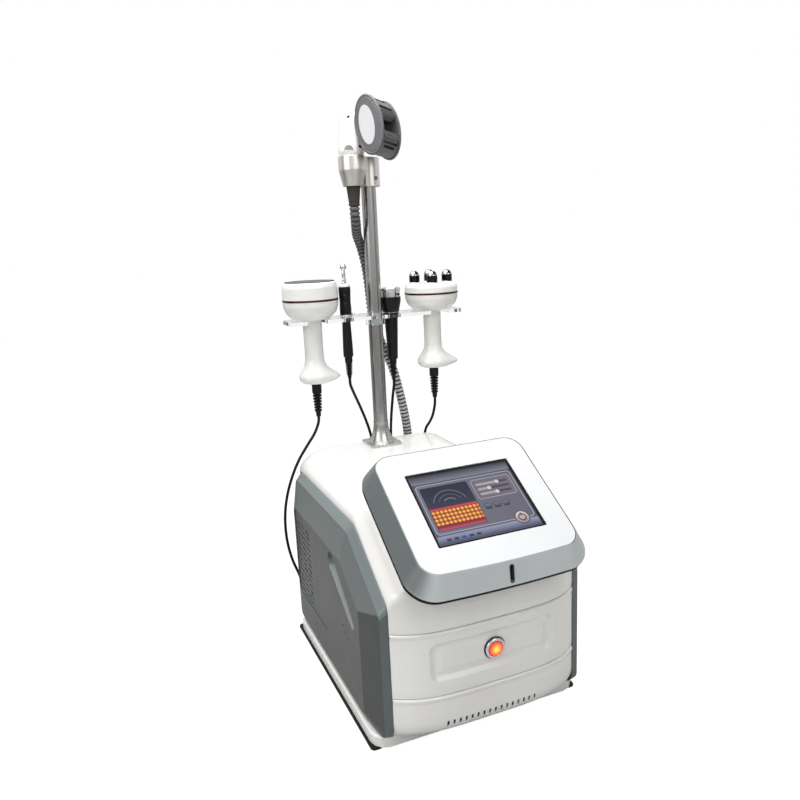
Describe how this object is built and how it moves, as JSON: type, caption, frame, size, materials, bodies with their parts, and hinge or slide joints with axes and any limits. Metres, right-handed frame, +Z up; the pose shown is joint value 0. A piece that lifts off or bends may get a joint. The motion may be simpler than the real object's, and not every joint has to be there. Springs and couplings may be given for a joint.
{
  "type": "cavitation slimming machine",
  "caption": "Tabletop body-care machine with a tilted touch screen, a pole with a clear shelf of cabled handpieces and a vacuum roller handpiece on a ribbed hose.",
  "frame": {"origin": "middle of the footprint, on the surface that the foot rails stand on", "axes": "+Z up, -Y towards the user (the screen side), +X to the right seen from the front"},
  "size_m": [0.3488, 0.6368, 0.9208],
  "materials": {
    "gloss_white": "glossy moulded plastic",
    "grey_panel": "satin grey-green moulded plastic",
    "grey_console": "satin grey moulded plastic",
    "black_plastic": "fine matt black plastic",
    "black_rubber": "matt black rubber",
    "brushed_metal": "brushed stainless steel",
    "chrome": "polished chrome",
    "screen_glass": "dark glass over a lit display",
    "clear_acrylic": "clear polished acrylic",
    "roller_grey": "satin warm grey plastic",
    "lit_lens": "lit orange-red translucent plastic",
    "ring_trim": "dark red anodised ring",
    "hose_grey": "grey ribbed hose",
    "sheet_metal": "plain sheet metal",
    "circuit_board": "green circuit board"
  },
  "bodies": {
    "housing": {"base_tray": "gloss_white", "foot_rail_left": "black_rubber", "foot_rail_right": "black_rubber", "lower_shell": "gloss_white", "middle_front_panel": "gloss_white", "upper_shell": "gloss_white", "side_panel_left": "grey_panel", "side_panel_right": "grey_panel", "rear_panel": "sheet_metal", "console_neck": "gloss_white", "console_housing": "grey_console", "face_plate": "gloss_white", "touch_screen": "screen_glass", "power_button_bezel": "chrome", "pole_foot": "brushed_metal", "pole_tube": "brushed_metal", "handpiece_shelf": "clear_acrylic", "shelf_collar": "clear_acrylic", "top_bracket": "brushed_metal", "suction_hose": "hose_grey", "hose_elbow": "black_plastic", "flat_cable": "black_rubber", "dome_cable": "black_rubber", "pen_cable": "black_rubber", "wand_cable": "black_rubber", "mains_inlet": "black_plastic", "switch_frame": "black_plastic", "fan_frame": "black_plastic", "vacuum_pump": "sheet_metal", "power_supply": "sheet_metal", "control_board": "circuit_board"},
    "power_button": {"power_button_lens": "lit_lens"},
    "vacuum_handpiece": {"vacuum_handle": "gloss_white", "roller_head_shell": "roller_grey", "hose_cuff": "black_rubber"},
    "upper_roller": {"upper_roller": "roller_grey"},
    "lower_roller": {"lower_roller": "roller_grey"},
    "flat_handpiece": {"flat_handle": "gloss_white", "flat_head_ring": "ring_trim", "flat_head_cap": "gloss_white", "flat_disc": "brushed_metal", "flat_strain_relief": "black_rubber"},
    "dome_handpiece": {"dome_handle": "gloss_white", "dome_head_ring": "ring_trim", "dome_head_cap": "gloss_white", "dome_electrode_1": "chrome", "dome_electrode_2": "chrome", "dome_electrode_3": "chrome", "dome_electrode_4": "chrome", "dome_strain_relief": "black_rubber"},
    "pen_handpiece": {"pen_body": "black_plastic", "pen_collar": "gloss_white", "pen_tip": "chrome", "pen_strain_relief": "black_rubber"},
    "wand_handpiece": {"wand_body": "black_plastic", "wand_head": "chrome", "wand_strain_relief": "black_rubber"},
    "mains_rocker": {"rocker_switch": "lit_lens"},
    "fan_wheel": {"fan_rotor": "black_plastic"}
  },
  "joints": [
    {"name": "power_button_press", "type": "slide", "parent": "housing", "child": "power_button", "axis": [0, 1, 0], "range_m": [0, 0.003], "stiffness_N_per_m": 400, "springref_m": -0.001},
    {"name": "vacuum_handpiece_lift", "type": "slide", "parent": "housing", "child": "vacuum_handpiece", "axis": [0, 0, 1], "range_m": [0, 0.06]},
    {"name": "upper_roller_spin", "type": "hinge", "parent": "vacuum_handpiece", "child": "upper_roller", "pos_m": [0.01394, 0.13572, 0.88904], "axis": [0.8334, 0.5412, -0.1115], "continuous": true},
    {"name": "lower_roller_spin", "type": "hinge", "parent": "vacuum_handpiece", "child": "lower_roller", "pos_m": [0.0156, 0.12583, 0.85342], "axis": [0.8334, 0.5412, -0.1115], "continuous": true},
    {"name": "flat_handpiece_slide", "type": "slide", "parent": "housing", "child": "flat_handpiece", "axis": [0, -1, 0], "range_m": [0, 0.06]},
    {"name": "dome_handpiece_slide", "type": "slide", "parent": "housing", "child": "dome_handpiece", "axis": [0, -1, 0], "range_m": [0, 0.06]},
    {"name": "pen_handpiece_lift", "type": "slide", "parent": "housing", "child": "pen_handpiece", "axis": [0, 0, 1], "range_m": [0, 0.06]},
    {"name": "wand_handpiece_lift", "type": "slide", "parent": "housing", "child": "wand_handpiece", "axis": [0, 0, 1], "range_m": [0, 0.06]},
    {"name": "mains_rocker_tilt", "type": "hinge", "parent": "housing", "child": "mains_rocker", "pos_m": [-0.118, 0.2263, 0.1], "axis": [1, 0, 0], "range_deg": [0, 12]},
    {"name": "fan_spin", "type": "hinge", "parent": "housing", "child": "fan_wheel", "pos_m": [0.078, 0.21, 0.092], "axis": [0, 1, 0], "continuous": true}
  ],
  "couplings": [
    {"joint": "lower_roller_spin", "follows": "upper_roller_spin", "ratio": -1}
  ]
}
